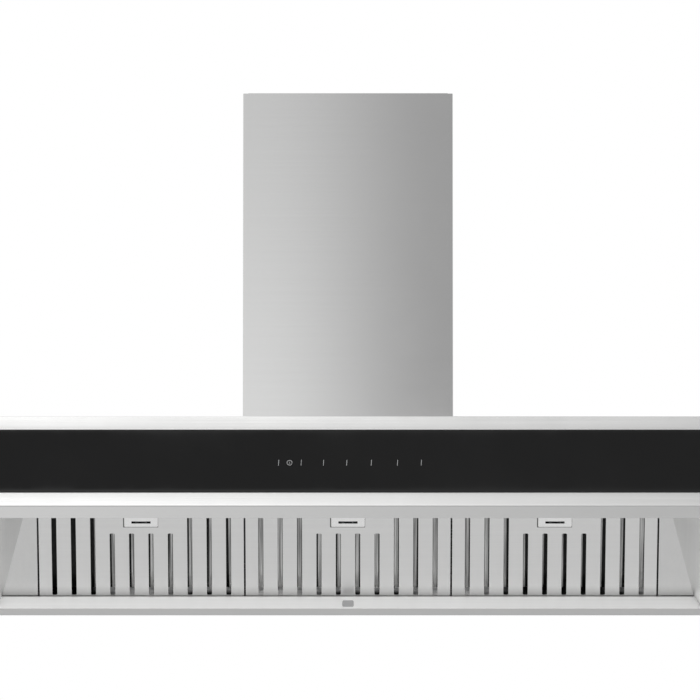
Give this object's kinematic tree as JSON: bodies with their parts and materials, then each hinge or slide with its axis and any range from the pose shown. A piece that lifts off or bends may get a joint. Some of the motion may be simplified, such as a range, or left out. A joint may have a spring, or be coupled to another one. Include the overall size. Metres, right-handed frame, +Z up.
{
  "type": "island range hood",
  "caption": "Ceiling-hung island range hood: brushed-steel box canopy with a black glass touch front, slotted swing-down filters and a square telescopic chimney.",
  "frame": {"origin": "centre of the ceiling bracket's top face, which lies against the ceiling", "axes": "+Z up, -Y towards the glass front, +X to the right seen from the front"},
  "size_m": [1.2, 0.652, 0.765],
  "materials": {
    "brushed_steel": "horizontally brushed stainless sheet",
    "filter_steel": "brushed stainless sheet, fine grain",
    "latch_steel": "satin stainless pressing",
    "black_glass": "back-painted black glass, polished",
    "galvanised_steel": "zinc-coated steel with faint spangle",
    "zinc_fastener": "bright zinc",
    "spring_steel": "blued spring strip",
    "black_plastic": "moulded, fine texture",
    "grey_plastic": "satin moulded",
    "motor_paint": "dark enamel",
    "cast_aluminium": "satin",
    "lamp_lens": "frosted diffuser",
    "circuit_board": "solder mask",
    "capacitor_can": "plain drawn can",
    "magnet": "nickel plated"
  },
  "bodies": {
    "ceiling_section": {"ceiling_bracket": "galvanised_steel", "upper_chimney_front": "brushed_steel", "upper_chimney_rear": "brushed_steel"},
    "canopy": {"front_fascia": "brushed_steel", "top_panel": "brushed_steel", "rear_panel": "brushed_steel", "left_side_panel": "brushed_steel", "right_side_panel": "brushed_steel", "left_cheek": "brushed_steel", "right_cheek": "brushed_steel", "light_panel": "brushed_steel", "lower_chimney_front": "brushed_steel", "lower_chimney_rear": "brushed_steel", "glass_panel": "black_glass", "lower_upright_front_left": "galvanised_steel", "lower_upright_front_right": "galvanised_steel", "lower_upright_rear_left": "galvanised_steel", "lower_upright_rear_right": "galvanised_steel", "scroll_left": "galvanised_steel", "scroll_right": "galvanised_steel", "blower_brackets": "galvanised_steel", "motor_bracket": "galvanised_steel", "control_box": "galvanised_steel", "control_box_lid": "galvanised_steel", "frame_bolts": "zinc_fastener", "panel_screws": "zinc_fastener", "chimney_screws": "zinc_fastener", "touch_board_cover": "black_plastic", "outlet_collar": "black_plastic", "cable_gland": "black_plastic", "motor": "motor_paint", "lamp_body_left": "cast_aluminium", "lamp_body_right": "cast_aluminium", "lamp_lens_left": "lamp_lens", "lamp_lens_right": "lamp_lens", "touch_board": "circuit_board", "power_board": "circuit_board", "capacitor": "capacitor_can", "tray_magnets": "magnet"},
    "grease_tray": {"grease_tray": "brushed_steel", "tray_grip": "grey_plastic"},
    "impeller": {"impeller": "cast_aluminium", "motor_shaft": "zinc_fastener"},
    "damper_left": {"damper_flap_left": "black_plastic"},
    "damper_right": {"damper_flap_right": "black_plastic"},
    "filter_left": {"filter_face_left": "filter_steel", "filter_baffles_left": "filter_steel", "latch_plate_left": "latch_steel", "latch_spring_left": "spring_steel"},
    "latch_left": {"latch_slide_left": "latch_steel"},
    "filter_center": {"filter_face_center": "filter_steel", "filter_baffles_center": "filter_steel", "latch_plate_center": "latch_steel", "latch_spring_center": "spring_steel"},
    "latch_center": {"latch_slide_center": "latch_steel"},
    "filter_right": {"filter_face_right": "filter_steel", "filter_baffles_right": "filter_steel", "latch_plate_right": "latch_steel", "latch_spring_right": "spring_steel"},
    "latch_right": {"latch_slide_right": "latch_steel"}
  },
  "joints": [
    {"name": "height_slide", "type": "slide", "parent": "ceiling_section", "child": "canopy", "axis": [0, 0, -1], "range_m": [0, 0.35]},
    {"name": "tray_drop", "type": "slide", "parent": "canopy", "child": "grease_tray", "axis": [0, 0, -1], "range_m": [0, 0.1]},
    {"name": "impeller_spin", "type": "hinge", "parent": "canopy", "child": "impeller", "pos_m": [0, -0.053, -0.499], "axis": [1, 0, 0], "continuous": true},
    {"name": "damper_left_swing", "type": "hinge", "parent": "canopy", "child": "damper_left", "pos_m": [-0.0035, 0, -0.333], "axis": [0, 1, 0], "range_deg": [0, 80]},
    {"name": "damper_right_swing", "type": "hinge", "parent": "canopy", "child": "damper_right", "pos_m": [0.0035, 0, -0.333], "axis": [0, -1, 0], "range_deg": [0, 80]},
    {"name": "filter_left_swing", "type": "hinge", "parent": "canopy", "child": "filter_left", "pos_m": [0, 0.2862, -0.7442], "axis": [1, 0, 0], "range_deg": [0, 50]},
    {"name": "latch_left_slide", "type": "slide", "parent": "filter_left", "child": "latch_left", "axis": [0, 0.9763, -0.2164], "range_m": [0, 0.008], "stiffness_N_per_m": 250, "springref_m": -0.004, "deforming": ["latch_spring_left"]},
    {"name": "filter_center_swing", "type": "hinge", "parent": "canopy", "child": "filter_center", "pos_m": [0, 0.2862, -0.7442], "axis": [1, 0, 0], "range_deg": [0, 50]},
    {"name": "latch_center_slide", "type": "slide", "parent": "filter_center", "child": "latch_center", "axis": [0, 0.9763, -0.2164], "range_m": [0, 0.008], "stiffness_N_per_m": 250, "springref_m": -0.004, "deforming": ["latch_spring_center"]},
    {"name": "filter_right_swing", "type": "hinge", "parent": "canopy", "child": "filter_right", "pos_m": [0, 0.2862, -0.7442], "axis": [1, 0, 0], "range_deg": [0, 50]},
    {"name": "latch_right_slide", "type": "slide", "parent": "filter_right", "child": "latch_right", "axis": [0, 0.9763, -0.2164], "range_m": [0, 0.008], "stiffness_N_per_m": 250, "springref_m": -0.004, "deforming": ["latch_spring_right"]}
  ]
}
